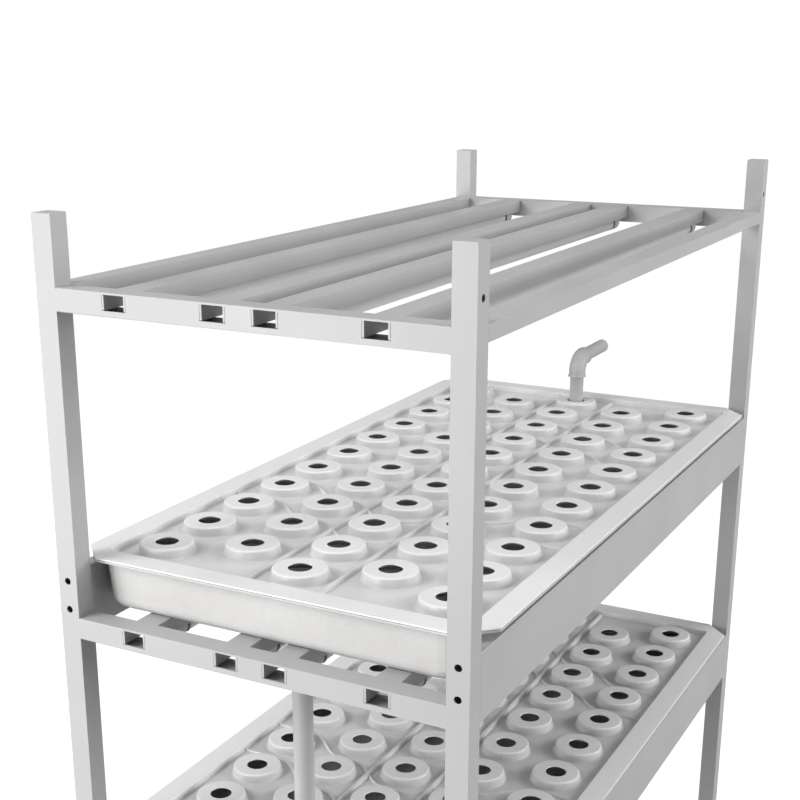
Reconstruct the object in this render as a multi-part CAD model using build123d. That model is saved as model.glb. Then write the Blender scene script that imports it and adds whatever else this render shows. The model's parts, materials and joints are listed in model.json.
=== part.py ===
from build123d import *
import math
import os

# Multi-tier hydroponic grow rack. Millimetres, +Z up.
# X runs along the short front side, Y runs from the front to the back.
# The pieces are made about the middle of the four posts, and written with the origin
# on the floor in the middle of the whole outline, which the water inlet makes longer.

# Welded frame
frame_width = 600
frame_depth = 1250
post_length = 1400
post_size = 30
post_wall = 2
end_plate = 2
top_rail_drop = 90.2
tier_pitch = 440.8
rail_size = 30
rail_wall = 2.5
side_rail_width = 30
side_rail_height = 20
side_rail_wall = 2
beam_width = 20
beam_height = 90
beam_wall = 2

# Bolted joint between the side beams and the posts, and the holes in the posts' sides
beam_plate = 5
bolt_from_beam_top = 10
bolt_spacing = 40
access_hole_radius = 4.8
side_hole_radius = 4.5
side_hole_drop = 60

# Levelling feet
foot_height = 30
foot_pad_radius = 20
foot_pad_height = 8
foot_stem_radius = 5
foot_stem_reach = 22
foot_nut_across = 16
foot_nut_height = 6
foot_plate = 5

# Cross channels that carry the trays above and the lamps below
channel_width = 35
channel_height = 22
channel_wall = 2.5
drain_channel_gap = 1.5
outer_channel_share = 0.3
window_gap = 0.5

# Lamp tubes and their spring clips
lamp_radius = 13
lamp_sides = 16
lamp_end_gap = 36
lamp_set_back = 8
lamp_axis_drop = 28
clip_inset = 29
clip_width = 4
clip_wall = 1.2
clip_gap = 0.2
clip_lip_drop = 10
clip_lip_reach = 5

# Trays
tray_side_reach = 5
tray_set_back = 3.5
tray_beam_gap = 11
tray_corner_gap = 1.5
tray_flange = 2.5
tray_wall = 2.5
tray_side_gap = 4
tray_end_overhang = 12
tray_body_corner = 22
tray_side_draft = 8
tray_end_draft = 20
tray_bottom_bevel = 7

# Lids with their plant sites
lid_sheet = 2.5
lid_rim_width = 35
lid_recess_depth = 10
lid_recess_draft = 2
lid_recess_corner = 6
site_columns = 5
site_rows = 11
site_side_margin = 17.5
site_end_margin = 15.5
site_height = 14
site_base_radius = 39.5
site_top_radius = 36
site_hole_radius = 16
site_sides = 8
ridge_width = 15
ridge_crest = 6
ridge_height = 5
wave_width = 5
wave_height = 2.5
wave_flat = 30
wave_places = (-2.5, -1.5, 1.5, 2.5)

# Drain pipes
drain_radius = 14
drain_wall = 2.5
drain_gap = 0.3
drain_lip = 28
drain_collar_radius = 17
drain_collar_height = 3
drain_nut_across = 42
drain_nut_height = 8
drain_dip = 18
drain_outlet = 50
thread_gap = 0.05

# Water inlet
pipe_radius = 12.5
pipe_wall = 2
grommet_gap = 0.15
grommet_drop = 2
riser_dip = 20
elbow_above_rim = 83
elbow_wall = 3
elbow_bend = 25
elbow_socket = 9
elbow_bead = 1.5
elbow_bead_height = 3
round_sides = 12
small_sides = 8
elbow_steps = 5
stub_length = 112

# How far a cut runs past the piece it is made in, and the tiers from the top down
cut_over = 1
tier_names = ("top", "middle", "bottom")

# Places worked out from the sizes above
half_width = frame_width / 2
half_depth = frame_depth / 2
post_x = half_width - post_size / 2
post_y = half_depth - post_size / 2
frame_top = foot_height + post_length
rail_tops = [frame_top - top_rail_drop - tier_pitch * tier for tier in range(len(tier_names))]
inner_x = half_width - post_size
inner_y = half_depth - post_size
rail_y = half_depth - rail_size / 2
beam_x = half_width - beam_width / 2
beam_rise = beam_height - rail_size
inner_channel_offset = drain_collar_radius + drain_channel_gap + channel_width / 2
outer_channel_offset = frame_width * outer_channel_share
channel_places = (-outer_channel_offset, -inner_channel_offset, inner_channel_offset, outer_channel_offset)
lamp_length = 2 * (inner_y - lamp_end_gap)
tray_height = beam_rise + tray_beam_gap + tray_flange
tray_width = frame_width + 2 * tray_side_reach
tray_length = 2 * inner_y
tray_corner = tray_side_reach + post_size + tray_set_back + tray_corner_gap
recess_width = tray_width - 2 * lid_rim_width
recess_length = tray_length - 2 * lid_rim_width
site_mid = (site_columns - 1) / 2
site_column_pitch = (recess_width - 2 * (site_base_radius + site_side_margin)) / (site_columns - 1)
site_row_pitch = (recess_length - 2 * (site_base_radius + site_end_margin)) / (site_rows - 1)
inlet_y = tray_set_back + site_row_pitch * (site_rows - 1) / 2
drain_y = tray_set_back - site_row_pitch * (site_rows - 1) / 2
front_reach = post_y + foot_pad_radius / math.cos(math.pi / round_sides)
back_reach = inlet_y + elbow_bend + stub_length
outline_middle = (back_reach - front_reach) / 2


def save(shape, name):
    """Write one node, measured from the middle of the whole outline."""
    shape = Pos(0, -outline_middle, 0) * shape
    shape.label = name
    export_step(shape, "parts/" + name + ".step")


def group(shapes):
    """Several like pieces in one node."""
    return Compound(children=list(shapes))


def block(x_range, y_range, z_range):
    """Block between two opposite corners."""
    sizes = [high - low for low, high in (x_range, y_range, z_range)]
    centre = [(high + low) / 2 for low, high in (x_range, y_range, z_range)]
    return Pos(*centre) * Box(*sizes)


def about(centre, size):
    """The range of one size about its centre."""
    return (centre - size / 2, centre + size / 2)


def rod(radius, low, high, x=0, y=0):
    """Upright cylinder between two heights."""
    return Pos(x, y, low) * Cylinder(radius, high - low, align=(Align.CENTER, Align.CENTER, Align.MIN))


def rod_along_y(radius, low, high, x=0, z=0):
    """Cylinder along Y between two depths."""
    return Pos(x, low, z) * Rot(-90, 0, 0) * Cylinder(
        radius, high - low, align=(Align.CENTER, Align.CENTER, Align.MIN))


def rod_along_x(radius, low, high, y=0, z=0):
    """Cylinder along X between two places."""
    return Pos(low, y, z) * Rot(0, 90, 0) * Cylinder(
        radius, high - low, align=(Align.CENTER, Align.CENTER, Align.MIN))


def tube(x_range, y_range, z_range, wall, along):
    """Rectangular tube, open at both ends along X, Y or Z."""
    ranges = {"X": x_range, "Y": y_range, "Z": z_range}
    bore = {axis: (low + wall, high - wall) for axis, (low, high) in ranges.items()}
    low, high = ranges[along]
    bore[along] = (low - cut_over, high + cut_over)
    return block(*ranges.values()) - block(*bore.values())


def prism(radius, sides, low, high, x=0, y=0):
    """Upright many-sided block, its radius measured to the flats."""
    outline = RegularPolygon(radius, sides, major_radius=False)
    return Pos(x, y, low) * extrude(outline, high - low)


def hexagon_nut(across, height, bore, sides, low, x, y):
    """Hexagon nut standing on one height, its size measured across the flats."""
    hole = prism(bore, sides, low - cut_over, low + height + cut_over, x, y)
    return prism(across / 2, 6, low, low + height, x, y) - hole


# Frame

def post(side, end):
    """Square post with its bolt access holes and one side hole near the top."""
    x = side * post_x
    y = end * post_y
    shape = tube(about(x, post_size), about(y, post_size),
                 (foot_height + foot_plate, frame_top - end_plate), post_wall, "Z")
    access = Rot(90, 0, 0) * prism(access_hole_radius, small_sides, -post_wall - cut_over, post_wall + cut_over)
    for rail_top in rail_tops[1:]:
        for z in bolt_heights(rail_top):
            shape -= Pos(x, end * half_depth, z) * access
    near, far = sorted((side * (half_width + cut_over), side * (half_width - post_wall - cut_over)))
    return shape - rod_along_x(side_hole_radius, near, far, y, frame_top - side_hole_drop)


def post_plates(low, height, hole=None):
    """Four square plates that close the ends of the posts."""
    plates = []
    for side in (-1, 1):
        for end in (-1, 1):
            x = side * post_x
            y = end * post_y
            plate = block(about(x, post_size), about(y, post_size), (low, low + height))
            if hole:
                plate -= prism(hole, small_sides, low - cut_over, low + height + cut_over, x, y)
            plates.append(plate)
    return group(plates)


def window_rail(end, rail_top):
    """Front or back rail with a window in both upright walls for each channel."""
    shape = tube((-inner_x, inner_x), about(end * rail_y, rail_size),
                 (rail_top - rail_size, rail_top), rail_wall, "X")
    window_top = rail_top - rail_wall
    window_low = rail_top - channel_height - window_gap
    for x in channel_places:
        shape -= block(about(x, channel_width + 2 * window_gap),
                       about(end * rail_y, rail_size + 2 * cut_over), (window_low, window_top))
    return shape


def side_rail(side):
    """Low rail between the front and back posts at the top tier."""
    x = side * (half_width - side_rail_width / 2)
    return tube(about(x, side_rail_width), (-inner_y, inner_y),
                (rail_tops[0] - side_rail_height, rail_tops[0]), side_rail_wall, "Y")


def side_beam(side, rail_top):
    """Deep tube beside each tray."""
    return tube(about(side * beam_x, beam_width), (-inner_y, inner_y),
                (rail_top - rail_size, rail_top + beam_rise), beam_wall, "Y")


def channel(x, rail_top):
    """Inverted U channel, its web cut away where the two rails cross it."""
    height = (rail_top - channel_height, rail_top)
    shape = block(about(x, channel_width), (-half_depth, half_depth), height)
    shape -= block(about(x, channel_width - 2 * channel_wall), about(0, frame_depth + 2 * cut_over),
                   (height[0] - cut_over, rail_top - channel_wall))
    for end in (-1, 1):
        shape -= block(about(x, channel_width + 2 * cut_over),
                       about(end * rail_y, rail_size), (rail_top - rail_wall, rail_top + cut_over))
    return shape


def beam_end_plates():
    """Plates that close both ends of every side beam and take its screws."""
    plates = []
    for rail_top in rail_tops[1:]:
        for side in (-1, 1):
            for end in (-1, 1):
                plates.append(block(about(side * beam_x, beam_width - 2 * beam_wall),
                                    sorted((end * inner_y, end * (inner_y - beam_plate))),
                                    (rail_top - rail_size + beam_wall, rail_top + beam_rise - beam_wall)))
    return group(plates)


def bolt_heights(rail_top):
    """Heights of the two screws at each end of a side beam."""
    first = rail_top + beam_rise - bolt_from_beam_top
    return (first, first - bolt_spacing)


# Levelling feet

def levelling_feet():
    """Round pads, each on a threaded stem."""
    feet = []
    for side in (-1, 1):
        for end in (-1, 1):
            x = side * post_x
            y = end * post_y
            stem = prism(foot_stem_radius, small_sides, foot_pad_height, foot_height + foot_stem_reach, x, y)
            feet.append(stem + prism(foot_pad_radius, round_sides, 0, foot_pad_height, x, y))
    return group(feet)


def foot_nuts():
    """Lock nuts against the lower ends of the posts."""
    return group(hexagon_nut(foot_nut_across, foot_nut_height, foot_stem_radius + thread_gap, small_sides,
                             foot_height - foot_nut_height, side * post_x, end * post_y)
                 for side in (-1, 1) for end in (-1, 1))


# Lamps

lamp_low_y = lamp_set_back - lamp_length / 2
lamp_high_y = lamp_set_back + lamp_length / 2


def lamp_tube(x, rail_top):
    """Lamp tube with its two end caps, its many sides drawn inside the round tube."""
    flats = lamp_radius * math.cos(math.pi / lamp_sides)
    return Pos(x, 0, rail_top - lamp_axis_drop) * Rot(-90, 0, 0) * prism(
        flats, lamp_sides, lamp_low_y, lamp_high_y)


def lamp_clip(x, rail_top, y):
    """Spring clip from the channel's web round the sides of a lamp."""
    axis = rail_top - lamp_axis_drop
    inner = lamp_radius + clip_gap
    outer = inner + clip_wall
    lip_low = axis - clip_lip_drop
    seat = math.sqrt(inner ** 2 - clip_lip_drop ** 2)
    top = rail_top - channel_wall
    points = [(-outer, top), (outer, top), (outer, lip_low), (seat, lip_low - clip_lip_reach),
              (seat, lip_low), (inner, lip_low + clip_lip_reach), (inner, top - clip_wall),
              (-inner, top - clip_wall), (-inner, lip_low + clip_lip_reach), (-seat, lip_low),
              (-seat, lip_low - clip_lip_reach), (-outer, lip_low)]
    outline = Plane.XZ * make_face(Polyline(*points, close=True))
    return Pos(x, y + clip_width / 2, 0) * extrude(outline, clip_width)


def lamp_clips(rail_top):
    """Two clips for each lamp of one tier."""
    return group(lamp_clip(x, rail_top, y) for x in channel_places
                 for y in (lamp_low_y + clip_inset, lamp_high_y - clip_inset))


# Trays and lids

def cut_corner(width, length, corner):
    """Rectangle with its four corners cut off at 45 degrees."""
    return chamfer(Rectangle(width, length).vertices(), corner)


def tray_body(shrink):
    """Tapered tray body, or its inside when it is shrunk by the wall."""
    width = 2 * (half_width - beam_width - tray_side_gap - shrink)
    length = tray_length - 2 * (tray_end_overhang + shrink)
    lower = cut_corner(width - 2 * tray_side_draft, length - 2 * tray_end_draft, tray_body_corner)
    upper = cut_corner(width, length, tray_body_corner)
    body = loft([Pos(0, 0, shrink) * lower, Pos(0, 0, tray_height) * upper], ruled=True)
    floor_edges = body.faces().sort_by(Axis.Z)[0].edges()
    return chamfer(floor_edges, tray_bottom_bevel)


def tray(rail_top, outlet_y):
    """Thin tray that stands on the channels, its flange hanging over the side beams."""
    flange = extrude(cut_corner(tray_width, tray_length, tray_corner), tray_flange)
    shape = tray_body(0) + Pos(0, 0, tray_height - tray_flange) * flange
    shape -= tray_body(tray_wall)
    shape -= rod(drain_radius + drain_gap, -cut_over, tray_wall + cut_over, 0, outlet_y - tray_set_back)
    return Pos(0, tray_set_back, rail_top) * shape


def plant_sites():
    """Middles of the plant sites, every second column half a row further on."""
    for column in range(site_columns):
        rows = site_rows - column % 2
        for row in range(rows):
            yield ((column - site_mid) * site_column_pitch, (row - (rows - 1) / 2) * site_row_pitch)


def ridge(x, length):
    """Long stiffening ridge on the floor of the lid, narrower at its crest."""
    foot = ridge_width / 2
    crest = ridge_crest / 2
    corners = Polyline((-foot, 0), (-crest, ridge_height), (crest, ridge_height), (foot, 0), close=True)
    return Pos(x, length / 2, 0) * extrude(Plane.XZ * make_face(corners), length)


def wave_rib(rows, width):
    """Low rib that steps by half a row from each column of sites to the next."""
    toward_end = math.copysign(1, rows)
    points = [(-width / 2, rows * site_row_pitch)]
    for column in range(site_columns):
        x = (column - site_mid) * site_column_pitch
        y = (rows + toward_end * (site_mid - abs(column - site_mid)) / 2) * site_row_pitch
        points += [(x - wave_flat / 2, y), (x + wave_flat / 2, y)]
    points.append((width / 2, rows * site_row_pitch))
    return extrude(trace(Polyline(*points), wave_width), wave_height)


def lid():
    """Moulded lid: rim, sunk floor, ridges, waved ribs and raised plant sites."""
    width = recess_width
    length = recess_length
    rim_top = lid_recess_depth
    low = -lid_sheet
    rim = Pos(0, 0, rim_top - lid_sheet) * extrude(cut_corner(tray_width, tray_length, tray_corner), lid_sheet)
    pan = recess(width + 2 * lid_sheet, length + 2 * lid_sheet, low, rim_top - lid_sheet)
    hollow = recess(width, length, 0, rim_top)
    shape = rim + pan - hollow
    floor_width = width - 2 * lid_recess_draft
    floor_length = length - 2 * lid_recess_draft
    ribs = [ridge(side * site_column_pitch / 2, floor_length) for side in (-1, 1)]
    ribs += [wave_rib(rows, floor_width) for rows in wave_places]
    shape = shape + ribs
    shape = shape + [Pos(x, y, low) * site_cone(0) for x, y in plant_sites()]
    return shape - [Pos(x, y, 0) * site_hole() for x, y in plant_sites()]


def recess(width, length, low, high):
    """Block with cut corners that narrows a little towards its lower face."""
    lower = cut_corner(width - 2 * lid_recess_draft, length - 2 * lid_recess_draft, lid_recess_corner)
    draft = math.degrees(math.atan2(lid_recess_draft, lid_recess_depth))
    return Pos(0, 0, low) * extrude(lower, high - low, taper=-draft)


def site_cone(low):
    """Raised plant site, tapered, as a many-sided block."""
    lower = RegularPolygon(site_base_radius, site_sides, major_radius=False)
    upper = RegularPolygon(site_top_radius, site_sides, major_radius=False)
    return loft([Pos(0, 0, low) * lower, Pos(0, 0, low + site_height + lid_sheet) * upper], ruled=True)


def site_hole():
    """Hole through a plant site, its width measured across the flats."""
    return prism(site_hole_radius, site_sides, -lid_sheet - cut_over, site_height + cut_over)


# Drains

def drain_pipe(rail_top, y, low):
    """Overflow pipe through the tray's floor, with a collar under the floor."""
    high = rail_top + tray_wall + drain_lip
    shape = rod(drain_radius, low, high, 0, y)
    shape += prism(drain_collar_radius, round_sides, rail_top - drain_collar_height, rail_top, 0, y)
    return shape - prism(drain_radius - drain_wall, round_sides, low - cut_over, high + cut_over, 0, y)


def drain_nut(rail_top, y):
    """Nut that clamps the drain pipe to the tray's floor."""
    return hexagon_nut(drain_nut_across, drain_nut_height, drain_radius + thread_gap, round_sides,
                       rail_top + tray_wall, 0, y)


# Water inlet

def lid_floor(rail_top):
    """Height of a lid's sunk floor."""
    return rail_top + tray_height + lid_sheet - lid_recess_depth


inlet_floor = lid_floor(rail_tops[1])
inlet_seat = inlet_floor + site_height
elbow_axis = inlet_seat + elbow_above_rim - lid_sheet
socket_low = elbow_axis - elbow_bend - elbow_socket
socket_back = inlet_y + elbow_bend + elbow_socket


def inlet_grommet():
    """Rubber ring that grips the riser in a plant hole."""
    top = inlet_seat - grommet_drop
    ring = prism(site_hole_radius - grommet_gap, site_sides, inlet_floor, top, 0, inlet_y)
    return ring - prism(pipe_radius + thread_gap, round_sides, inlet_floor - cut_over, top + cut_over, 0, inlet_y)


def inlet_riser():
    """Pipe from under the lid up into the elbow."""
    low = inlet_floor - riser_dip
    high = socket_low + elbow_socket
    shape = rod(pipe_radius, low, high, 0, inlet_y)
    return shape - prism(pipe_radius - pipe_wall, round_sides, low - cut_over, high + cut_over, 0, inlet_y)


def inlet_stub():
    """Pipe that leaves the elbow towards the back of the rack, its end in the socket cut to flats."""
    start = socket_back - elbow_socket
    flats = (pipe_radius - thread_gap) * math.cos(math.pi / round_sides)
    shape = rod_along_y(pipe_radius, socket_back, start + stub_length, 0, elbow_axis)
    shape += Pos(0, start, elbow_axis) * Rot(-90, 0, 0) * prism(flats, round_sides, 0, elbow_socket)
    bore = prism(pipe_radius - pipe_wall, round_sides, -cut_over, stub_length + cut_over)
    return shape - Pos(0, start, elbow_axis) * Rot(-90, 0, 0) * bore


def bent_pipe(radius, overrun):
    """Many-sided quarter bend with a straight run at both ends."""
    corners = [(0, inlet_y, socket_low - overrun)]
    for step in range(elbow_steps):
        turn = math.radians(90 * (step + 1 / 2) / elbow_steps)
        reach = elbow_bend / math.cos(math.radians(90 / elbow_steps / 2))
        corners.append((0, inlet_y + elbow_bend - reach * math.cos(turn),
                        elbow_axis - elbow_bend + reach * math.sin(turn)))
    corners.append((0, socket_back + overrun, elbow_axis))
    ring = Pos(*corners[0]) * RegularPolygon(radius, round_sides, major_radius=False)
    return sweep(ring, Polyline(*corners), transition=Transition.RIGHT)


def inlet_elbow():
    """Elbow with a bead round its lower socket."""
    outer = pipe_radius + elbow_wall
    shape = bent_pipe(outer, 0)
    shape += prism(outer + elbow_bead, round_sides, socket_low, socket_low + elbow_bead_height, 0, inlet_y)
    shape -= bent_pipe(pipe_radius - pipe_wall, cut_over)
    lower = prism(pipe_radius + thread_gap, round_sides, -cut_over, elbow_socket)
    shape -= Pos(0, inlet_y, socket_low) * lower
    back = prism(pipe_radius, round_sides, -cut_over, elbow_socket)
    return shape - Pos(0, socket_back, elbow_axis) * Rot(90, 0, 0) * back


def write_frame():
    for side_name, side in (("left", -1), ("right", 1)):
        for end_name, end in (("front", -1), ("back", 1)):
            save(post(side, end), "post_" + end_name + "_" + side_name)
        save(side_rail(side), "top_rail_" + side_name)
        for tier_name, rail_top in zip(tier_names[1:], rail_tops[1:]):
            save(side_beam(side, rail_top), tier_name + "_beam_" + side_name)
    for tier_name, rail_top in zip(tier_names, rail_tops):
        for end_name, end in (("front", -1), ("back", 1)):
            save(window_rail(end, rail_top), tier_name + "_rail_" + end_name)
        for number, x in enumerate(channel_places, 1):
            save(channel(x, rail_top), tier_name + "_channel_" + str(number))
    save(post_plates(frame_top - end_plate, end_plate), "post_top_plates")
    save(post_plates(foot_height, foot_plate, foot_stem_radius + thread_gap), "post_foot_plates")
    save(beam_end_plates(), "beam_end_plates")
    save(levelling_feet(), "levelling_feet")
    save(foot_nuts(), "foot_lock_nuts")


def write_lamps():
    for tier_name, rail_top in zip(tier_names[:2], rail_tops):
        for number, x in enumerate(channel_places, 1):
            save(lamp_tube(x, rail_top), tier_name + "_lamp_" + str(number))
        save(lamp_clips(rail_top), tier_name + "_lamp_clips")


def write_growing_trays():
    shape = lid()
    lowest = lid_floor(rail_tops[2]) - lid_sheet - drain_dip
    places = (("middle", rail_tops[1], drain_y, lowest),
              ("bottom", rail_tops[2], inlet_y, rail_tops[2] - drain_outlet))
    for tier_name, rail_top, outlet_y, pipe_low in places:
        save(tray(rail_top, outlet_y), tier_name + "_tray")
        save(Pos(0, tray_set_back, lid_floor(rail_top)) * shape, tier_name + "_lid")
        save(drain_pipe(rail_top, outlet_y, pipe_low), tier_name + "_drain_pipe")
        save(drain_nut(rail_top, outlet_y), tier_name + "_drain_nut")


def write_inlet():
    save(inlet_grommet(), "inlet_grommet")
    save(inlet_riser(), "inlet_riser")
    save(inlet_elbow(), "inlet_elbow")
    save(inlet_stub(), "inlet_stub")


os.makedirs("parts", exist_ok=True)
write_frame()
write_lamps()
write_growing_trays()
write_inlet()
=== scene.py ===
import json
import math

import bmesh
import bpy
from mathutils import Matrix, Vector


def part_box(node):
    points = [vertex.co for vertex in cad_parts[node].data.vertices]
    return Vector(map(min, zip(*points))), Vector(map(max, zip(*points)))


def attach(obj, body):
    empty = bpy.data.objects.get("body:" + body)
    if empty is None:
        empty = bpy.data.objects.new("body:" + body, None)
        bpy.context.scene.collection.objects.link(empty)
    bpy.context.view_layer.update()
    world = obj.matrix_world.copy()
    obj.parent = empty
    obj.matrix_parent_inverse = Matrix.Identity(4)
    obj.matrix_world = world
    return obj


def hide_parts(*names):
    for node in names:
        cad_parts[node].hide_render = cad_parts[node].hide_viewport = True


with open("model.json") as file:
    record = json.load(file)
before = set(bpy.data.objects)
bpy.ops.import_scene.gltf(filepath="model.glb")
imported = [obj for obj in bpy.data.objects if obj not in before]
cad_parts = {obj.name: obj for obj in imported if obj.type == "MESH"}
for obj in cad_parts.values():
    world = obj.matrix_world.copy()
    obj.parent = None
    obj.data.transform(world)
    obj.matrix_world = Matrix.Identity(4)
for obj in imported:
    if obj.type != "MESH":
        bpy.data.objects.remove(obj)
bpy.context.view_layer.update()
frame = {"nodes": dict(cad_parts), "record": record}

# Sizes in millimetres, measured from the middle of the four posts like the rack's own drawing.
MM = 0.001
ROW_MIDDLE = (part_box("post_front_left")[0][1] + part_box("post_back_left")[1][1]) / 2
TO_ROW = Matrix.Translation((0, ROW_MIDDLE, 0)) @ Matrix.Scale(MM, 4)

HALF_WIDTH = 300
HALF_DEPTH = 625
POST = 30
POST_WALL = 2
POST_X = HALF_WIDTH - POST / 2
POST_Y = HALF_DEPTH - POST / 2
INNER_X = HALF_WIDTH - POST
INNER_Y = HALF_DEPTH - POST
POST_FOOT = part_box("post_front_left")[0][2] / MM
POST_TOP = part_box("post_front_left")[1][2] / MM
RAIL_TOPS = {tier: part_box(tier + "_channel_1")[1][2] / MM for tier in ("top", "middle", "bottom")}
CHANNEL_XS = (-180, -36, 36, 180)
CHANNEL_WALL = 2.5
SCREW_HEIGHTS = (50, 10)
FIT = 0.05

TRAY_WIDTH = 610
TRAY_LENGTH = 1190
TRAY_SET_BACK = 3.5
TRAY_HEIGHT = 73.5
TRAY_CORNER = 40
CORNER_BOW = 0.5
SHEET = 2.5
LID_LIFT = 66
LID_SEAM = 0.6
RECESS_WIDTH = 540
RECESS_LENGTH = 1120
RECESS_DEPTH = 10
RECESS_SHOULDER = 3
RECESS_CORNER = 10
TRAY_OPENING_WIDTH = 548
TRAY_OPENING_LENGTH = 1166
TRAY_OPENING_CORNER = 37
RIM_X = 278
RIM_Y = 586

SITE_COLUMNS = 5
COLUMN_PITCH = 106.5
SITE_ROWS = 11
ROW_PITCH = 101
SITE_HEIGHT = 14
HOLE_RADIUS = 16
RIDGE_HALF_WIDTH = 5
RIDGE_HEIGHT = 4.8
WAVE_FLAT = 30
WAVE_REACH = 268
WAVE_STEPS = 120
WAVE_HALF_WIDTH = 2.8
WAVE_HEIGHT = 3.2

LAMP_RADIUS = 13
LAMP_DROP = 28
LAMP_FRONT = -551
LAMP_BACK = 567
CAP_LENGTH = 27.6
CLIP_OUTSIDE = 14.1
CLIP_INSIDE = 13.2
CLIP_WIDTH = 4
CLIP_FROM_END = 29
CLIP_TOP = LAMP_DROP - CHANNEL_WALL

PIPE_RADIUS = 12.5
PIPE_WALL = 2
RISER_BELOW_LID = 20
STUB_LENGTH = 112
ELBOW_RADIUS = 15.5
ELBOW_RISE = 80.5
ELBOW_BEND = 25
ELBOW_SOCKET = 9
BEAD_RADIUS = 17
INLET_Y = TRAY_SET_BACK + (SITE_ROWS - 1) / 2 * ROW_PITCH
DRAIN_Y = TRAY_SET_BACK - (SITE_ROWS - 1) / 2 * ROW_PITCH
DRAIN_RADIUS = 14
DRAIN_WALL = 2.5
DRAIN_RISE = 30.5
DRAIN_HOLE = 14.3
COLLAR_RADIUS = 17
COLLAR_HEIGHT = 3
DRAIN_NUT_ACROSS = 42
DRAIN_NUT_HEIGHT = 8
DRAIN_LOWS = {"middle": RAIL_TOPS["bottom"] + 45.5, "bottom": RAIL_TOPS["bottom"] - 50}
ROUND_STEPS = 36
SMALL_STEPS = 18


# Finishes

class Amount:
    """A shader number that Python's operators add Math nodes to."""

    def __init__(self, finish, socket):
        self.finish = finish
        self.socket = socket

    def worked(self, operation, first, second):
        node = self.finish.node("ShaderNodeMath", {"operation": operation}, {0: first, 1: second})
        return Amount(self.finish, node.outputs[0])

    def __add__(self, other):
        return self.worked("ADD", self, other)

    def __sub__(self, other):
        return self.worked("SUBTRACT", self, other)

    def __rsub__(self, other):
        return self.worked("SUBTRACT", other, self)

    def __mul__(self, other):
        return self.worked("MULTIPLY", self, other)

    def __pow__(self, other):
        return self.worked("POWER", self, other)

    def __abs__(self):
        return self.worked("ABSOLUTE", self, 0)

    def most(self, other):
        return self.worked("MAXIMUM", self, other)

    def least(self, other):
        return self.worked("MINIMUM", self, other)

    def folded(self, span):
        """Runs up and down between zero and a span."""
        return self.worked("PINGPONG", self, span)

    __radd__ = __add__
    __rmul__ = __mul__


class NodeTree:
    """The nodes of a material or a world, with none at first."""

    def __init__(self, owner):
        owner.use_nodes = True
        self.tree = owner.node_tree
        self.tree.nodes.clear()

    def node(self, kind, settings, inputs):
        made = self.tree.nodes.new(kind)
        for name, value in settings.items():
            setattr(made, name, value)
        for name, value in inputs.items():
            self.put(made.inputs[name], value)
        return made

    def put(self, socket, value):
        if isinstance(value, Amount):
            value = value.socket
        if isinstance(value, bpy.types.NodeSocket):
            self.tree.links.new(value, socket)
        else:
            socket.default_value = value

    def camera_split(self, others, seen):
        """Shows one shader to the camera and another to everything else."""
        path = self.node("ShaderNodeLightPath", {}, {})
        return self.node("ShaderNodeMixShader", {}, {
            0: path.outputs["Is Camera Ray"], 1: others.outputs[0], 2: seen.outputs[0]}).outputs[0]


class Finish(NodeTree):
    """One material of the rack with its nodes."""

    def __init__(self, name, **values):
        self.material = bpy.data.materials.new(name)
        super().__init__(self.material)
        self.shader = self.node("ShaderNodeBsdfPrincipled", {}, values)
        self.node("ShaderNodeOutputMaterial", {}, {"Surface": self.shader.outputs[0]})
        self.place = self.node("ShaderNodeTexCoord", {}, {}).outputs["Object"]

    def feed(self, name, value):
        self.put(self.shader.inputs[name], value)

    def noise(self, scale, detail=3.0, roughness=0.5, place=None):
        made = self.node("ShaderNodeTexNoise", {}, {
            "Vector": place or self.place,
            "Scale": scale, "Detail": detail, "Roughness": roughness})
        return Amount(self, made.outputs[0])

    def ranged(self, amount, low, high, to_low, to_high):
        made = self.node("ShaderNodeMapRange", {}, {
            "Value": amount,
            "From Min": low, "From Max": high, "To Min": to_low, "To Max": to_high})
        return Amount(self, made.outputs[0])

    def stretched(self, scale):
        made = self.node("ShaderNodeMapping", {}, {"Vector": self.place, "Scale": scale})
        return made.outputs[0]

    def blended(self, share, first, second):
        made = self.node("ShaderNodeMix", {"data_type": "RGBA"}, {0: share, 6: first, 7: second})
        return made.outputs[2]

    def rough_skin(self, height, depth):
        made = self.node("ShaderNodeBump", {}, {
            "Height": height, "Distance": depth, "Strength": 1.0})
        self.feed("Normal", made.outputs[0])


def grey(level, warm=0.0):
    return (level * (1 + warm), level, level * (1 - warm), 1)


def coated_steel(level):
    """Light grey powder coat: fine orange peel and faint dull patches."""
    finish = Finish("coated_steel", **{"Roughness": 0.45, "IOR": 1.5})
    cloud = finish.noise(7.0, 2.0)
    peel = finish.noise(420.0, 2.0, 0.4)
    fleck = finish.noise(1500.0, 1.0)
    finish.feed("Base Color", finish.blended(
        finish.ranged(cloud, 0.35, 0.65, 0, 1), grey(level * 0.97, 0.001), grey(level, 0.003)))
    finish.feed("Roughness", finish.ranged(cloud + peel * 0.4, 0.45, 0.95, 0.4, 0.52))
    finish.rough_skin(peel + fleck * 0.3, 0.00001)
    return finish.material


# Share of the painted shade that stays on the open lid floor, away from the plant sites, ridges and
# walls.
LEAST_PAINTED_SHADE = 0.45


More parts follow.
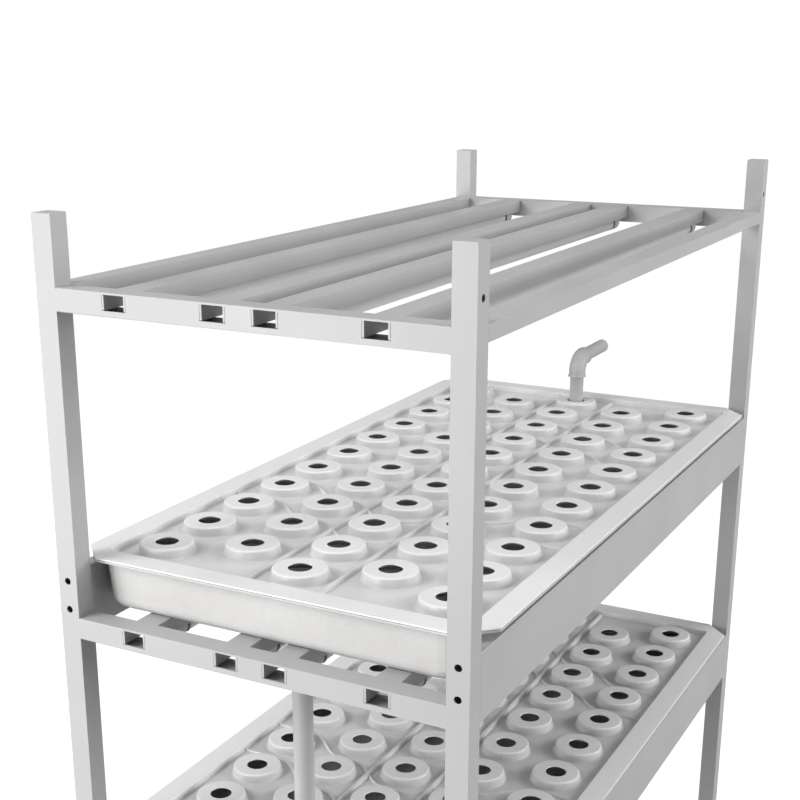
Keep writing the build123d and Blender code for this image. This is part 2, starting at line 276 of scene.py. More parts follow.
def painted_lid_shade(finish):
    """Painted shade on a lid: darkest on the sides and at the feet of the plant sites, beside the
    ridges and along the recess walls, lighter on the ridge tops and open floor, in patches.
    """
    place = finish.node("ShaderNodeSeparateXYZ", {}, {"Vector": finish.place})
    x = Amount(finish, place.outputs[0])
    y = Amount(finish, place.outputs[1]) - ROW_MIDDLE - TRAY_SET_BACK * MM
    column = COLUMN_PITCH * MM
    half_row = ROW_PITCH * MM / 2
    full_x = x.folded(column).most(abs(x) - (SITE_COLUMNS - 1) / 2 * column)
    full_y = y.folded(half_row).most(abs(y) - (SITE_ROWS - 1) * half_row)
    short_x = (x - column).folded(column).most(abs(x) - column)
    short_y = (y - half_row).folded(half_row).most(abs(y) - (SITE_ROWS - 2) * half_row)
    site = (full_x ** 2 + full_y ** 2).least(short_x ** 2 + short_y ** 2) ** 0.5
    ridge = abs(abs(x) - column / 2)
    wall = (RECESS_WIDTH * MM / 2 - abs(x)).least(RECESS_LENGTH * MM / 2 - abs(y))
    shade_amount = finish.ranged(site, 40 * MM, 60 * MM, 1, LEAST_PAINTED_SHADE)
    shade_amount = shade_amount.most(finish.ranged(ridge, 5 * MM, 14 * MM, 1, LEAST_PAINTED_SHADE))
    shade_amount = shade_amount * finish.ranged(ridge, 3 * MM, 5 * MM, 0.4, 1)
    shade_amount = shade_amount.most(finish.ranged(wall, 2.5 * MM, 30 * MM, 1, LEAST_PAINTED_SHADE))
    shade_amount = shade_amount * finish.ranged(wall, -1 * MM, 2 * MM, 0, 1)
    patches = finish.ranged(finish.noise(30.0, 4.0, 0.6), 0.3, 0.6, 0.75, 1)
    return shade_amount * finish.ranged(site, 35.8 * MM, 37.4 * MM, 0, 1) * patches


def moulded_sheet(name, dark, light, grain, roughness, shade_colour=None):
    """Formed plastic sheet: mottled grain with soft clouds, and painted shade around its relief
    when a shade colour is given.
    """
    finish = Finish(name, **{"Roughness": roughness, "IOR": 1.46})
    cloud = finish.noise(9.0, 4.0, 0.6)
    mottle = finish.noise(grain, 5.0, 0.65)
    fine = finish.noise(grain * 5, 2.0)
    shade = finish.ranged(cloud * 0.9 + mottle * 0.6 + fine * 0.1, 0.6, 1.0, 0, 1)
    colour = finish.blended(shade, dark, light)
    if shade_colour:
        # Painted shade: the colour turns darker around the plant sites, beside the ridges and along
        # the walls, where light is blocked.
        colour = finish.blended(painted_lid_shade(finish), colour, shade_colour)
    finish.feed("Base Color", colour)
    finish.feed("Roughness", finish.ranged(mottle, 0.3, 0.7, roughness - 0.03, roughness + 0.03))
    finish.rough_skin(mottle + fine * 0.2, 0.00002)
    return finish.material


def pipe_plastic(level):
    """Extruded and moulded pipe: fine grain and dull patches."""
    finish = Finish("pipe_plastic", **{"Roughness": 0.4, "IOR": 1.5})
    cloud = finish.noise(22.0, 3.0)
    fine = finish.noise(700.0, 2.0)
    finish.feed("Base Color", finish.blended(
        finish.ranged(cloud, 0.35, 0.65, 0, 1), grey(level * 0.92), grey(level)))
    finish.feed("Roughness", finish.ranged(cloud, 0.3, 0.7, 0.38, 0.5))
    finish.rough_skin(fine + cloud * 0.4, 0.00005)
    return finish.material


def lamp_glass(level):
    """Frosted lamp tube: warm white diffuser below, with painted shade turning its upper part dark
    grey.
    """
    finish = Finish("lamp_tube", **{"Roughness": 0.3, "IOR": 1.5})
    below = finish.node("ShaderNodeAttribute", {"attribute_name": "below"}, {}).outputs["Fac"]
    streak = finish.noise(1.0, 3.0, 0.5, finish.stretched((90, 4, 90)))
    front = finish.blended(
        finish.ranged(streak, 0.35, 0.65, 0, 1), grey(level * 0.96, 0.02), grey(level, 0.012))
    # Painted shade: the top of the tube, under its channel, is blended into dark grey.
    finish.feed("Base Color", finish.blended(
        finish.ranged(below, 0.1, 0.6, 0, 1), grey(0.3, 0.03), front))
    finish.feed("Roughness", finish.ranged(streak, 0.3, 0.7, 0.27, 0.35))
    finish.rough_skin(finish.noise(900.0, 2.0), 0.00001)
    return finish.material


def bare_metal(name, level, roughness, stretch):
    """Plated or drawn metal with fine lines along its length."""
    finish = Finish(name, **{"Metallic": 1.0, "Roughness": roughness})
    lines = finish.noise(1.0, 4.0, 0.6, finish.stretched(stretch))
    cloud = finish.noise(60.0, 3.0)
    finish.feed("Base Color", finish.blended(
        finish.ranged(cloud, 0.35, 0.65, 0, 1), grey(level * 0.85), grey(level)))
    finish.feed("Roughness", finish.ranged(lines, 0.3, 0.7, roughness - 0.1, roughness + 0.1))
    finish.rough_skin(lines, 0.00005)
    return finish.material


def black_rubber():
    finish = Finish("rubber", **{"Roughness": 0.7, "IOR": 1.5})
    speck = finish.noise(800.0, 4.0, 0.7)
    finish.feed("Base Color", finish.blended(speck, grey(0.02), grey(0.045)))
    finish.feed("Roughness", finish.ranged(speck, 0.3, 0.7, 0.6, 0.8))
    finish.rough_skin(speck, 0.0001)
    return finish.material


STEEL = coated_steel(0.48)
TRAY_SHEET = moulded_sheet("tray_plastic", grey(0.54, 0.012), grey(0.62, 0.008), 240.0, 0.48)
# The lid's second grey is its painted shade colour, used around the plant sites, ridges and walls.
LID_SHEET = moulded_sheet("lid_plastic", grey(0.87, 0.004), grey(0.9, 0.002), 260.0, 0.3,
                          shade_colour=grey(0.62, 0.004))
PIPE = pipe_plastic(0.47)
LAMP = lamp_glass(0.86)
CAP = moulded_sheet("lamp_cap_plastic", grey(0.6), grey(0.66), 500.0, 0.45)
ZINC = bare_metal("zinc_steel", 0.6, 0.38, (900, 900, 60))
SPRING = bare_metal("spring_steel", 0.2, 0.35, (900, 60, 900))
BLACKED = bare_metal("blackened_steel", 0.06, 0.45, (900, 60, 900))
RUBBER = black_rubber()


# Making pieces

def finished(bm, name, body, slot, material, *nodes, flat_over=500):
    """Turns a bmesh in millimetres into a piece that rides on its body.

    Faces that are level, or larger than flat_over square millimetres, stay flat.
    """
    smooth = [face.calc_area() < flat_over and abs(face.normal.z) < 0.9995 for face in bm.faces]
    bmesh.ops.transform(bm, matrix=TO_ROW, verts=bm.verts)
    mesh = bpy.data.meshes.new(name)
    bm.to_mesh(mesh)
    bm.free()
    mesh.materials.append(material)
    piece = bpy.data.objects.new(name, mesh)
    bpy.context.scene.collection.objects.link(piece)
    mesh.set_sharp_from_angle(angle=math.radians(35))
    mesh.polygons.foreach_set("use_smooth", smooth)
    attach(piece, body)
    if nodes:
        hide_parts(*nodes)


def moved(bm, verts, x=0, y=0, z=0):
    bmesh.ops.translate(bm, verts=verts, vec=(x, y, z))


def rounded(bm, edges, offset, segments):
    """Rounds edges off."""
    bmesh.ops.bevel(bm, geom=edges, offset=offset, segments=segments, profile=0.5, affect="EDGES",
                    clamp_overlap=True, material=-1)


def edges_between(bm, low, high, found=None):
    """Edges whose faces meet at an angle between two, in degrees, of those that a test picks."""
    return [e for e in bm.edges if len(e.link_faces) == 2
            and math.radians(low) < e.calc_face_angle() < math.radians(high)
            and (found is None or found(e))]


def turned_out(bm):
    """Joins points that touch and turns every face outward."""
    bmesh.ops.remove_doubles(bm, verts=bm.verts, dist=0.001)
    bmesh.ops.recalc_face_normals(bm, faces=bm.faces)


def turned_up(bm):
    """Turns the faces of an open sheet so that its largest one looks up."""
    turned_out(bm)
    if max(bm.faces, key=lambda f: f.calc_area()).normal.z < 0:
        bmesh.ops.reverse_faces(bm, faces=bm.faces)


def plate(bm, width, length, z, radius, steps=6, bow=None):
    """Gives back a flat face whose corners are round, or cut off and bowed in by a depth."""
    verts = bmesh.ops.create_grid(bm, x_segments=1, y_segments=1, size=0.5)["verts"]
    bmesh.ops.scale(bm, vec=(width, length, 1), verts=verts)
    moved(bm, verts, z=z)
    made = bmesh.ops.bevel(bm, geom=verts, offset=radius, segments=steps, profile=0.5,
                           affect="VERTICES", material=-1)
    face = max({f for v in made["verts"] for f in v.link_faces}, key=lambda f: len(f.verts))
    if bow is not None:
        chord = (width + length) / 2 - radius
        depth = radius * (1 - math.sqrt(1 / 2))
        for vert in face.verts:
            shift = (abs(vert.co.x) + abs(vert.co.y) - chord) / 2 * (1 + bow / depth)
            vert.co.x -= math.copysign(shift, vert.co.x)
            vert.co.y -= math.copysign(shift, vert.co.y)
    return face


def sunk(bm, face, drop, width, length):
    """Pulls a face down by a drop to a new width and length, and gives back the new face."""
    xs = [v.co.x for v in face.verts]
    ys = [v.co.y for v in face.verts]
    face = bmesh.ops.extrude_discrete_faces(bm, faces=[face])["faces"][0]
    scale = (width / (max(xs) - min(xs)), length / (max(ys) - min(ys)), 1)
    bmesh.ops.scale(bm, vec=scale, verts=face.verts)
    moved(bm, face.verts[:], z=-drop)
    return face


def opened(bm, face):
    """Deletes a face and keeps its edges."""
    edges = face.edges[:]
    bmesh.ops.delete(bm, geom=[face], context="FACES_ONLY")
    return edges


def lathe(bm, profile, place=(0, 0, 0), turn=0, closed=True, steps=ROUND_STEPS):
    """Spins (radius, height) points round Z, leans Z over about X and moves it all to a place."""
    verts = [bm.verts.new((radius, 0, height)) for radius, height in profile]
    edges = [bm.edges.new(pair) for pair in zip(verts, verts[1:])]
    if closed:
        edges.append(bm.edges.new((verts[-1], verts[0])))
    bmesh.ops.spin(bm, geom=verts + edges, cent=(0, 0, 0), axis=(0, 0, 1), angle=math.tau,
                   steps=steps, use_merge=True)
    found = set()
    queue = [v for v in verts if v.is_valid]
    while queue:
        vert = queue.pop()
        if vert not in found:
            found.add(vert)
            queue += [e.other_vert(vert) for e in vert.link_edges]
    lean = Matrix.Rotation(math.radians(turn), 4, "X")
    bmesh.ops.transform(bm, matrix=Matrix.Translation(place) @ lean, verts=list(found))
    return list(found)


# The lathe's turns that point a piece to the back and to the front.
TO_BACK = -90
TO_FRONT = 90


def arc(radius, x, z, start, end, steps):
    """Points of an arc as (x, z), angles in degrees."""
    return [(x + radius * math.cos(math.radians(start + (end - start) * k / steps)),
             z + radius * math.sin(math.radians(start + (end - start) * k / steps)))
            for k in range(steps + 1)]


def ribbon(bm, line, half_width, height):
    """A rounded rib on the lid's floor along a line of (x, y) points."""
    across = 8
    buried = 0.3
    span = len(line) - 1
    for vert in bmesh.ops.create_grid(bm, x_segments=span, y_segments=across, size=1)["verts"]:
        step = round((vert.co.x + 1) / 2 * span)
        side = vert.co.y
        ahead = Vector(line[min(step + 1, span)]) - Vector(line[max(step - 1, 0)])
        ahead.normalize()
        swell = math.sqrt(max(1 - side * side, 0))
        vert.co = (line[step][0] - ahead.y * side * half_width,
                   line[step][1] + ahead.x * side * half_width,
                   (height + buried) * swell - buried)


def filled(bm, edges):
    """Fills level rings of edges, with the inner rings as holes, and gives back the faces."""
    made = bmesh.ops.triangle_fill(bm, edges=edges, use_beauty=True, use_dissolve=False,
                                   normal=(0, 0, 1))
    return [g for g in made["geom"] if isinstance(g, bmesh.types.BMFace)]


def hexagon(bm, across, height, bore, place):
    """A hexagon nut with chamfered corners and an open bore."""
    corner = across / 2 / math.cos(math.pi / 6)
    outer = bmesh.ops.create_circle(bm, cap_ends=False, segments=6, radius=corner)["verts"]
    inner = bmesh.ops.create_circle(bm, cap_ends=False, segments=24, radius=bore)["verts"]
    rings = list({e for v in outer + inner for e in v.link_edges})
    faces = filled(bm, rings)
    raised = bmesh.ops.extrude_face_region(bm, geom=faces, use_keep_orig=True)["geom"]
    top = [g for g in raised if isinstance(g, bmesh.types.BMVert)]
    moved(bm, top, z=height)
    moved(bm, outer + inner + top, *place)


# Steel frame

def welded_planes(node):
    """The planes, as (axis, place), where a steel piece meets its neighbours and stays sharp."""
    if node == "post_top_plates":
        return [(2, POST_TOP)]
    if node == "post_foot_plates":
        return [(2, POST_FOOT)]
    if node.startswith("post_"):
        return [(2, POST_TOP), (2, POST_FOOT)]
    if node.endswith(("_front", "_back")):
        return [(0, -INNER_X), (0, INNER_X)]
    return [(1, -INNER_Y), (1, INNER_Y)]


SHORT_EDGE = 60


def softened(node):
    """A steel piece's own solid with round bolt holes and soft edges."""
    source = frame["nodes"][node]
    bm = bmesh.new()
    bm.from_mesh(source.data)
    bmesh.ops.transform(bm, matrix=TO_ROW.inverted() @ source.matrix_world, verts=bm.verts)
    bmesh.ops.remove_doubles(bm, verts=bm.verts, dist=0.001)
    planes = welded_planes(node)

    def free(edge):
        return not any(all(abs(v.co[axis] - place) < 0.01 for v in edge.verts)
                       for axis, place in planes)

    def long(edge):
        return free(edge) and edge.calc_length() > SHORT_EDGE

    def short(edge):
        return free(edge) and edge.calc_length() <= SHORT_EDGE

    hole_sides = edges_between(bm, 40, 50)
    if hole_sides:
        rounded(bm, hole_sides, 1.2, 3)
    rounded(bm, edges_between(bm, 60, 180, long), 1.1, 3)
    rounded(bm, edges_between(bm, 60, 180, short), 0.3, 1)
    finished(bm, node + "_coated", "frame", "coated_steel", STEEL, node, flat_over=0)


for node in frame["record"]["behaviour"]["bodies"]["frame"]:
    if node.startswith("post_") or "_rail_" in node or "_beam_" in node or "_channel_" in node:
        softened(node)
frame["nodes"]["beam_end_plates"].data.materials.clear()
frame["nodes"]["beam_end_plates"].data.materials.append(STEEL)


def beam_screws():
    """Socket screws that hold the side beams' end plates to the posts from inside the posts."""
    bm = bmesh.new()
    screw = [(0, 2), (2.1, 2), (2.1, 5), (3.7, 5), (4.2, 4.5), (4.2, 0), (2.5, 0), (2.5, -7),
             (0, -7)]
    for tier in ("middle", "bottom"):
        for x in (-POST_X, POST_X):
            for end, turn in ((-1, TO_FRONT), (1, TO_BACK)):
                y = end * (INNER_Y + POST_WALL)
                for height in SCREW_HEIGHTS:
                    lathe(bm, screw, (x, y, RAIL_TOPS[tier] + height), turn, closed=False,
                          steps=SMALL_STEPS)
    turned_out(bm)
    finished(bm, "beam_screws", "frame", "zinc_steel", BLACKED)


beam_screws()


# Levelling feet

THREAD_TURNS = 29
THREAD_PITCH = 1.5
THREAD_CORE = 4.4
THREAD_RADIUS = 5
STEM_LOW = 8
STEM_TOP = 52
FOOT_NUT_ACROSS = 16
FOOT_NUT_HEIGHT = 6
FOOT_NUT_LOW = 24


def levelling_feet():
    """Round pads on threaded stems."""
    bm = bmesh.new()
    pad = [(0, 0.3), (17, 0.3), (18.2, 0), (19.4, 0.4), (20, 1.4), (20, 4.5), (19.2, 6),
           (9.5, STEM_LOW), (0, STEM_LOW)]
    stem = [(0, STEM_LOW - 0.5), (THREAD_CORE, STEM_LOW - 0.5)]
    for turn in range(THREAD_TURNS):
        low = STEM_LOW + turn * THREAD_PITCH
        stem += [(THREAD_CORE, low), (THREAD_RADIUS, low + THREAD_PITCH / 2)]
    stem += [(THREAD_CORE, STEM_TOP - 0.5), (THREAD_CORE - 0.6, STEM_TOP), (0, STEM_TOP)]
    for x in (-POST_X, POST_X):
        for y in (-POST_Y, POST_Y):
            lathe(bm, pad, (x, y, 0), closed=False)
            lathe(bm, stem, (x, y, 0), closed=False, steps=SMALL_STEPS)
    turned_out(bm)
    finished(bm, "levelling_feet_zinc", "frame", "zinc_steel", ZINC, "levelling_feet")


def foot_lock_nuts():
    bm = bmesh.new()
    for x in (-POST_X, POST_X):
        for y in (-POST_Y, POST_Y):
            hexagon(bm, FOOT_NUT_ACROSS, FOOT_NUT_HEIGHT, THREAD_RADIUS + FIT,
                    (x, y, FOOT_NUT_LOW))
    turned_out(bm)
    rounded(bm, edges_between(bm, 40, 180), 0.4, 2)
    finished(bm, "foot_lock_nuts_zinc", "frame", "zinc_steel", ZINC, "foot_lock_nuts")


levelling_feet()
foot_lock_nuts()


# Lamps

def lamp(node, x, rail_top):
    """Lamp tube with an end cap and a dark seal at both ends."""
    start = (x, LAMP_FRONT, rail_top - LAMP_DROP)
    long = LAMP_BACK - LAMP_FRONT
    r = LAMP_RADIUS
    bm = bmesh.new()
    lathe(bm, [(0, CAP_LENGTH - 2), (r - 0.2, CAP_LENGTH - 2), (r - 0.2, long - CAP_LENGTH + 2),
               (0, long - CAP_LENGTH + 2)], start, TO_BACK, closed=False)
    turned_out(bm)
    # Height up from the bottom of the tube, which sets the painted shade on its top.
    below = bm.verts.layers.float.new("below")
    for vert in bm.verts:
        vert[below] = (start[2] + r - vert.co.z) / (2 * r)
    finished(bm, node + "_tube", "frame", "lamp_tube", LAMP, node)
    bm = bmesh.new()
    cap = ([(0, 0.6), (r - 4, 0.6), (r - 3.4, 0)] + arc(1.6, r - 1.6, 1.6, -90, 0, 4)
           + [(r, CAP_LENGTH - 1.4), (r - 0.4, CAP_LENGTH - 1), (r - 1, CAP_LENGTH - 1),
              (r - 1, CAP_LENGTH - 1.5), (0, 8)])
    lathe(bm, cap, start, TO_BACK, closed=False)
    lathe(bm, cap, (x, LAMP_BACK, rail_top - LAMP_DROP), TO_FRONT, closed=False)
    turned_out(bm)
    finished(bm, node + "_caps", "frame", "lamp_tube", CAP)
    bm = bmesh.new()
    for low in (CAP_LENGTH - 0.9, long - CAP_LENGTH - 1.5):
        seal = [(r - 0.6, low), (r, low + 0.3), (r, low + 2.1), (r - 0.6, low + 2.4)]
        lathe(bm, seal, start, TO_BACK)
    turned_out(bm)
    finished(bm, node + "_seals", "frame", "rubber", RUBBER)


def clip_outline():
    """Half of a clip's outline, as (x, z) points from the lamp's axis."""
    return ([(CLIP_OUTSIDE, CLIP_TOP)] + arc(CLIP_OUTSIDE, 0, 0, 0, -40, 6)
            + arc(CLIP_INSIDE, 0, 0, -43, 0, 6) + [(CLIP_INSIDE, CLIP_TOP - 0.9)])


def lamp_clips(tier):
    """Spring clips under the channels, one near each end of every lamp."""
    bm = bmesh.new()
    half = clip_outline()
    outline = half + [(-x, z) for x, z in reversed(half)]
    axis = RAIL_TOPS[tier] - LAMP_DROP
    for x in CHANNEL_XS:
        for y in (LAMP_FRONT + CLIP_FROM_END, LAMP_BACK - CLIP_FROM_END):
            front = y - CLIP_WIDTH / 2
            bm.faces.new([bm.verts.new((x + px, front, axis + pz)) for px, pz in outline])
    made = bmesh.ops.extrude_face_region(bm, geom=bm.faces[:], use_keep_orig=True)["geom"]
    moved(bm, [g for g in made if isinstance(g, bmesh.types.BMVert)], y=CLIP_WIDTH)
    turned_out(bm)
    finished(bm, tier + "_lamp_clips_bent", "frame", "spring_steel", SPRING, tier + "_lamp_clips")


for tier in ("top", "middle"):
    for number, x in enumerate(CHANNEL_XS, 1):
        lamp(tier + "_lamp_" + str(number), x, RAIL_TOPS[tier])
    lamp_clips(tier)


# Trays and lids

def plant_sites():
    """The middles of the plant sites, with one row fewer in every second column."""
    for column in range(SITE_COLUMNS):
        x = (column - (SITE_COLUMNS - 1) / 2) * COLUMN_PITCH
        rows = SITE_ROWS - column % 2
        for row in range(rows):
            yield (x, (row - (rows - 1) / 2) * ROW_PITCH)


# A plant site's outline from its hole to its foot, as (radius, height) points.
SITE_PROFILE = ([(HOLE_RADIUS, SITE_HEIGHT - 0.7), (HOLE_RADIUS + 0.3, SITE_HEIGHT - 0.2),
                 (HOLE_RADIUS + 1, SITE_HEIGHT)]
                + arc(3, 34.4, SITE_HEIGHT - 3, 90, 8, 5)
                + arc(2.6, 41.6, 2.6, 172, 270, 4)[:-1] + [(41.6, 0)])

# The way down from ring to ring: the recess as (drop, width), the tray as (drop, width, length).
RECESS_RINGS = ((0.25, 541.2), (0.9, 540), (6.35, 538.6), (1.5, 536.6), (0.75, 534), (0.25, 531))
TRAY_RINGS = ((0.4, 546, 1164), (1.6, 545, 1162.4), (56.9, 542, 1150), (4.4, 540.2, 1148.2),
              (3.7, 535.3, 1143.3), (2.5, 527.8, 1135.8), (0.9, 519, 1127))


def wave_line(rows):
    """A waved rib's line, half a row nearer the lid's end with each column up to the middle."""
    flat = WAVE_FLAT / 2 / COLUMN_PITCH
    middle = (SITE_COLUMNS - 1) / 2
    points = []
    for step in range(WAVE_STEPS + 1):
        x = -WAVE_REACH + step / (WAVE_STEPS / 2) * WAVE_REACH
        place = min(max(x / COLUMN_PITCH + middle, 0), SITE_COLUMNS - 1)
        column = min(int(place), SITE_COLUMNS - 2)
        turn = min(max((place - column - flat) / (1 - 2 * flat), 0), 1)
        turn = turn * turn * (3 - 2 * turn)
        near = middle - abs(column - middle)
        far = middle - abs(column + 1 - middle)
        shift = (near + (far - near) * turn) / 2
        points.append((x, (rows + math.copysign(shift, rows)) * ROW_PITCH))
    return points


def lid_ribs(bm):
    """Two long rounded ridges and four low waved ribs."""
    reach = RECESS_LENGTH / 2 - 2
    for x in (-COLUMN_PITCH / 2, COLUMN_PITCH / 2):
        ribbon(bm, [(x, -reach), (x, 0), (x, reach)], RIDGE_HALF_WIDTH, RIDGE_HEIGHT)
    for rows in (-2.5, -1.5, 1.5, 2.5):
        ribbon(bm, wave_line(rows), WAVE_HALF_WIDTH, WAVE_HEIGHT)


def lid(name, body, rail_top):
    """Formed lid: rim, sunk floor and plant sites as one sheet, with ridges and waved ribs."""
    bm = bmesh.new()
    rim = opened(bm, plate(bm, TRAY_WIDTH, TRAY_LENGTH, RECESS_DEPTH, TRAY_CORNER, bow=CORNER_BOW))
    pan = plate(bm, RECESS_WIDTH + RECESS_SHOULDER, RECESS_LENGTH + RECESS_SHOULDER, RECESS_DEPTH,
                RECESS_CORNER)
    upper = pan.edges[:]
    for drop, width in RECESS_RINGS:
        pan = sunk(bm, pan, drop, width, width + RECESS_LENGTH - RECESS_WIDTH)
    opened(bm, pan)
    bmesh.ops.bridge_loops(bm, edges=rim + upper)
    site = lathe(bm, SITE_PROFILE, closed=False)
    geom = (site + list({e for v in site for e in v.link_edges})
            + list({f for v in site for f in v.link_faces}))
    first, *others = plant_sites()
    for x, y in others:
        copy = bmesh.ops.duplicate(bm, geom=geom)["geom"]
        moved(bm, [v for v in copy if isinstance(v, bmesh.types.BMVert)], x, y)
    moved(bm, site, *first)
    feet = [e for e in bm.edges if e.is_boundary and all(abs(v.co.z) < 0.01 for v in e.verts)]
    filled(bm, feet)
    turned_up(bm)
    bmesh.ops.solidify(bm, geom=bm.faces[:], thickness=SHEET)
    rounded(bm, edges_between(bm, 60, 180, outer_rim(RECESS_DEPTH)), 0.6, 2)
    lid_ribs(bm)
    moved(bm, bm.verts[:], y=TRAY_SET_BACK, z=rail_top + LID_LIFT)
    finished(bm, name, body, "lid_plastic", LID_SHEET, body)


def outer_rim(top):
    """A test for the edges round the outside of a flat rim whose top is at a height."""
    def found(edge):
        return all(v.co.z > top - SHEET - 0.5 and (abs(v.co.x) > RIM_X or abs(v.co.y) > RIM_Y)
                   for v in edge.verts)
    return found


def tray(name, body, rail_top, outlet_y):
    """Formed tray: a flange with a thin seam to the lid, drafted walls and a round-edged floor."""
    top = TRAY_HEIGHT - LID_SEAM
    bm = bmesh.new()
    rim = opened(bm, plate(bm, TRAY_WIDTH, TRAY_LENGTH, top, TRAY_CORNER, bow=CORNER_BOW))
    pan = plate(bm, TRAY_OPENING_WIDTH, TRAY_OPENING_LENGTH, top, TRAY_OPENING_CORNER)
    upper = pan.edges[:]
    for drop, width, length in TRAY_RINGS:
        pan = sunk(bm, pan, drop, width, length)
    moved(bm, pan.verts[:], z=SHEET - pan.verts[0].co.z)
    lower = opened(bm, pan)
    bmesh.ops.bridge_loops(bm, edges=rim + upper)
    ring = bmesh.ops.create_circle(bm, cap_ends=False, segments=ROUND_STEPS,
                                   radius=DRAIN_HOLE)["verts"]
    moved(bm, ring, y=outlet_y - TRAY_SET_BACK, z=SHEET)
    hole = list({e for v in ring for e in v.link_edges})
    filled(bm, lower + hole)
    turned_up(bm)
    bmesh.ops.solidify(bm, geom=bm.faces[:], thickness=SHEET)
    rounded(bm, edges_between(bm, 60, 180, outer_rim(top)), 0.5, 2)
    moved(bm, bm.verts[:], y=TRAY_SET_BACK, z=rail_top)
    finished(bm, name, body, "tray_plastic", TRAY_SHEET, body)


# Drains

def drain(tier, y, low):
    """Overflow pipe with its collar under the tray's floor and its nut above."""
    body = tier + "_tray"
    floor = RAIL_TOPS[tier]
    high = floor + DRAIN_RISE
    bore = DRAIN_RADIUS - DRAIN_WALL
    r = DRAIN_RADIUS
    bm = bmesh.new()
    lathe(bm, [(bore, low + 0.8), (bore + 0.7, low), (r - 0.8, low), (r, low + 0.8),
               (r, floor - COLLAR_HEIGHT), (COLLAR_RADIUS - 0.6, floor - COLLAR_HEIGHT),
               (COLLAR_RADIUS, floor - COLLAR_HEIGHT + 0.6), (COLLAR_RADIUS, floor), (r, floor),
               (r, high - 0.8), (r - 0.8, high), (bore + 0.7, high), (bore, high - 0.8)],
          (0, y, 0))
    turned_out(bm)
    finished(bm, tier + "_drain_pipe_drawn", body, "pipe_plastic", PIPE, tier + "_drain_pipe")
    bm = bmesh.new()
    hexagon(bm, DRAIN_NUT_ACROSS, DRAIN_NUT_HEIGHT, r + FIT, (0, y, floor + SHEET))
    turned_out(bm)
    rounded(bm, edges_between(bm, 40, 180), 0.8, 2)
    finished(bm, tier + "_drain_nut_moulded", body, "pipe_plastic", PIPE, tier + "_drain_nut")


for tier, outlet_y in (("middle", DRAIN_Y), ("bottom", INLET_Y)):
    tray(tier + "_tray_sheet", tier + "_tray", RAIL_TOPS[tier], outlet_y)
    lid(tier + "_lid_sheet", tier + "_lid", RAIL_TOPS[tier])
    drain(tier, outlet_y, DRAIN_LOWS[tier])


# Water inlet

LID_FLOOR = RAIL_TOPS["middle"] + LID_LIFT
ELBOW_AXIS = LID_FLOOR + SITE_HEIGHT + ELBOW_RISE
SOCKET_LOW = ELBOW_AXIS - ELBOW_BEND - ELBOW_SOCKET


def elbow_station(run, turn, out):
    """Place and lean of a ring: up the lower socket, round the bend, then out to the back."""
    rise = Matrix.Translation((0, INLET_Y, SOCKET_LOW + run))
    centre = Matrix.Translation((0, ELBOW_BEND, 0))
    lean = centre @ Matrix.Rotation(math.radians(-turn), 4, "X") @ centre.inverted()
    return rise @ lean @ Matrix.Translation((0, 0, out))


def elbow():
    """Moulded elbow with a bead round each socket.

    Its rings are listed as (run up the lower socket, turn, run out, radius).
    """
    s = ELBOW_SOCKET
    outer = ELBOW_RADIUS
    socket = PIPE_RADIUS + FIT
    bore = PIPE_RADIUS - PIPE_WALL
    bends = [9 * k for k in range(11)]
    stations = [(0, 0, 0, BEAD_RADIUS - 0.8), (0.5, 0, 0, BEAD_RADIUS), (2.4, 0, 0, BEAD_RADIUS),
                (3, 0, 0, BEAD_RADIUS - 0.4), (3.6, 0, 0, outer + 0.2), (4.6, 0, 0, outer)]
    stations += [(s, turn, 0, outer) for turn in bends]
    stations += [(s, 90, s - 4, outer), (s, 90, s - 3, outer + 0.8), (s, 90, s - 0.6, outer + 0.8),
                 (s, 90, s, outer + 0.2), (s, 90, s, socket + 1), (s, 90, s - 1.5, socket),
                 (s, 90, 0, socket)]
    stations += [(s, turn, 0, bore) for turn in reversed(bends)]
    stations += [(s, 0, 0, socket), (0.4, 0, 0, socket), (0, 0, 0, socket + 0.4)]
    bm = bmesh.new()
    rings = []
    for run, turn, out, radius in stations:
        ring = bmesh.ops.create_circle(bm, cap_ends=False, segments=ROUND_STEPS, radius=radius,
                                       matrix=elbow_station(run, turn, out))["verts"]
        rings.append(list({e for v in ring for e in v.link_edges}))
    for near, far in zip(rings, rings[1:] + rings[:1]):
        bmesh.ops.bridge_loops(bm, edges=near + far)
    turned_out(bm)
    finished(bm, "inlet_elbow_moulded", "inlet", "pipe_plastic", PIPE, "inlet_elbow")


def pipe_profile(low, high):
    """Outline of a pipe's wall with small chamfers at its ends."""
    r = PIPE_RADIUS
    bore = PIPE_RADIUS - PIPE_WALL
    return [(bore, low + 0.5), (bore + 0.5, low), (r - 0.6, low), (r, low + 0.6),
            (r, high - 0.6), (r - 0.6, high), (bore + 0.5, high), (bore, high - 0.5)]


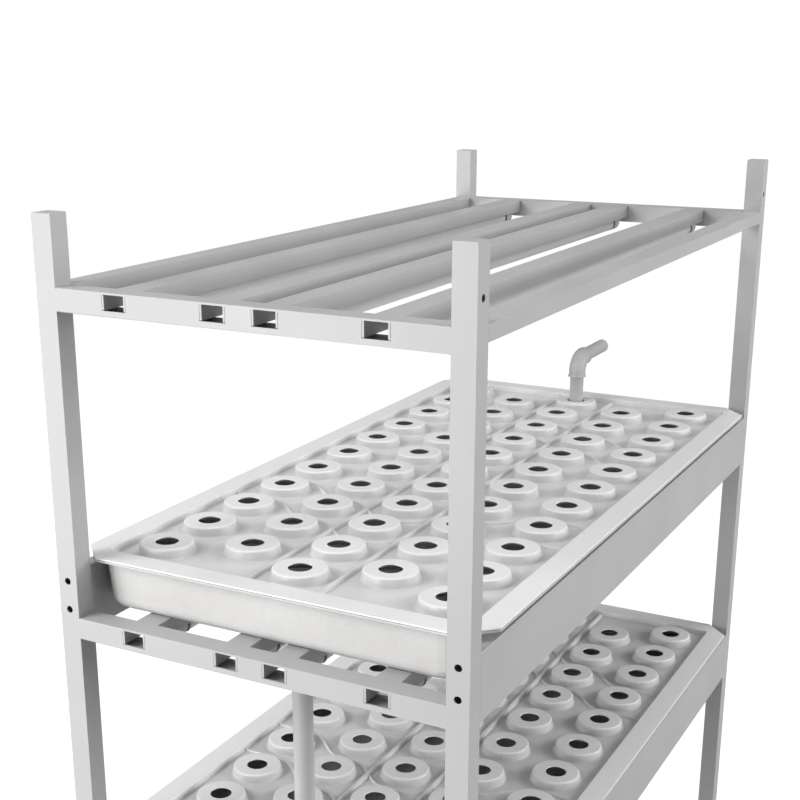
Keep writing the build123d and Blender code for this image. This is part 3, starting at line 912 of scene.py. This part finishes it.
def straight_pipes():
    """Riser, stub and the rubber grommet that the riser turns in."""
    bm = bmesh.new()
    riser = pipe_profile(LID_FLOOR - RISER_BELOW_LID, SOCKET_LOW + ELBOW_SOCKET)
    lathe(bm, riser, (0, INLET_Y, 0))
    turned_out(bm)
    finished(bm, "inlet_riser_drawn", "inlet", "pipe_plastic", PIPE, "inlet_riser")
    bm = bmesh.new()
    lathe(bm, pipe_profile(0, STUB_LENGTH), (0, INLET_Y + ELBOW_BEND, ELBOW_AXIS), TO_BACK)
    turned_out(bm)
    finished(bm, "inlet_stub_drawn", "inlet", "pipe_plastic", PIPE, "inlet_stub")
    bm = bmesh.new()
    top = SITE_HEIGHT - 2
    inner = PIPE_RADIUS + FIT
    outer = HOLE_RADIUS - 0.15
    lathe(bm, [(inner, 0), (outer, 0), (outer, top - 0.8), (outer - 0.65, top),
               (inner + 0.65, top), (inner, top - 0.6)], (0, INLET_Y, LID_FLOOR))
    turned_out(bm)
    finished(bm, "inlet_grommet_moulded", "middle_lid", "rubber", RUBBER, "inlet_grommet")


elbow()
straight_pipes()


# Floor, light and camera

FLOOR_REACH = 20
FLOOR_GLOW = 0.97
FLOOR_SHADE = 0.2
FLOOR_BOUNCE = 0.35


def white_ground():
    """White towards the camera with the rack's soft shadow, plain pale to everything else."""
    material = bpy.data.materials.new("ground")
    tree = NodeTree(material)
    pale = tree.node("ShaderNodeBsdfDiffuse", {}, {"Color": grey(FLOOR_BOUNCE)})
    shaded = tree.node("ShaderNodeBsdfDiffuse", {}, {"Color": grey(FLOOR_SHADE)})
    glow = tree.node("ShaderNodeEmission", {}, {"Color": grey(FLOOR_GLOW)})
    seen = tree.node("ShaderNodeAddShader", {}, {0: shaded.outputs[0], 1: glow.outputs[0]})
    tree.node("ShaderNodeOutputMaterial", {}, {"Surface": tree.camera_split(pale, seen)})
    return material


bm = bmesh.new()
bmesh.ops.create_grid(bm, x_segments=1, y_segments=1, size=FLOOR_REACH)
ground_mesh = bpy.data.meshes.new("ground")
bm.to_mesh(ground_mesh)
bm.free()
ground_mesh.materials.append(white_ground())
ground = bpy.data.objects.new("ground", ground_mesh)
bpy.context.scene.collection.objects.link(ground)

AROUND = 0.17
LIGHTS_AIM = Vector((0, 0, 0.9))

world = bpy.data.worlds.new("studio")
bpy.context.scene.world = world
tree = NodeTree(world)
around = tree.node("ShaderNodeBackground", {}, {"Color": grey(1.0), "Strength": AROUND})
behind = tree.node("ShaderNodeBackground", {}, {"Color": grey(1.0)})
tree.node("ShaderNodeOutputWorld", {}, {"Surface": tree.camera_split(around, behind)})


def soft_light(name, place, width, height, watts):
    """A wide lamp that looks at the middle of the rack."""
    data = bpy.data.lights.new(name, "AREA")
    data.shape = "RECTANGLE"
    data.size = width
    data.size_y = height
    data.energy = watts
    lamp = bpy.data.objects.new(name, data)
    lamp.location = place
    lamp.rotation_euler = (LIGHTS_AIM - Vector(place)).to_track_quat("-Z", "Y").to_euler()
    bpy.context.scene.collection.objects.link(lamp)


soft_light("front_light", (-1.4, -3.2, 0.8), 1.8, 1.3, 70)
soft_light("front_left_light", (-2.0, -2.9, 3.1), 1.8, 1.8, 95)
soft_light("top_light", (0.0, 0.0, 4.2), 2.5, 3.0, 52)
soft_light("right_light", (3.7, 1.1, 1.9), 4.4, 1.8, 140)

CAMERA_PLACE = Vector((882.71, -1920.57, 1617.56))
CAMERA_TURN = 28.556
CAMERA_DOWN = 17.606
CAMERA_ROLL = -0.179

camera_data = bpy.data.cameras.new("camera")
camera_data.sensor_width = 36
camera_data.lens = 61.858
camera_data.shift_x = 0.0318
camera_data.shift_y = 0.1082
camera = bpy.data.objects.new("camera", camera_data)
camera.matrix_world = (Matrix.Translation(TO_ROW @ CAMERA_PLACE)
                       @ Matrix.Rotation(math.radians(CAMERA_TURN), 4, "Z")
                       @ Matrix.Rotation(math.radians(90 - CAMERA_DOWN), 4, "X")
                       @ Matrix.Rotation(math.radians(CAMERA_ROLL), 4, "Z"))
bpy.context.scene.collection.objects.link(camera)
bpy.context.scene.camera = camera
bpy.context.scene.view_settings.view_transform = "Standard"
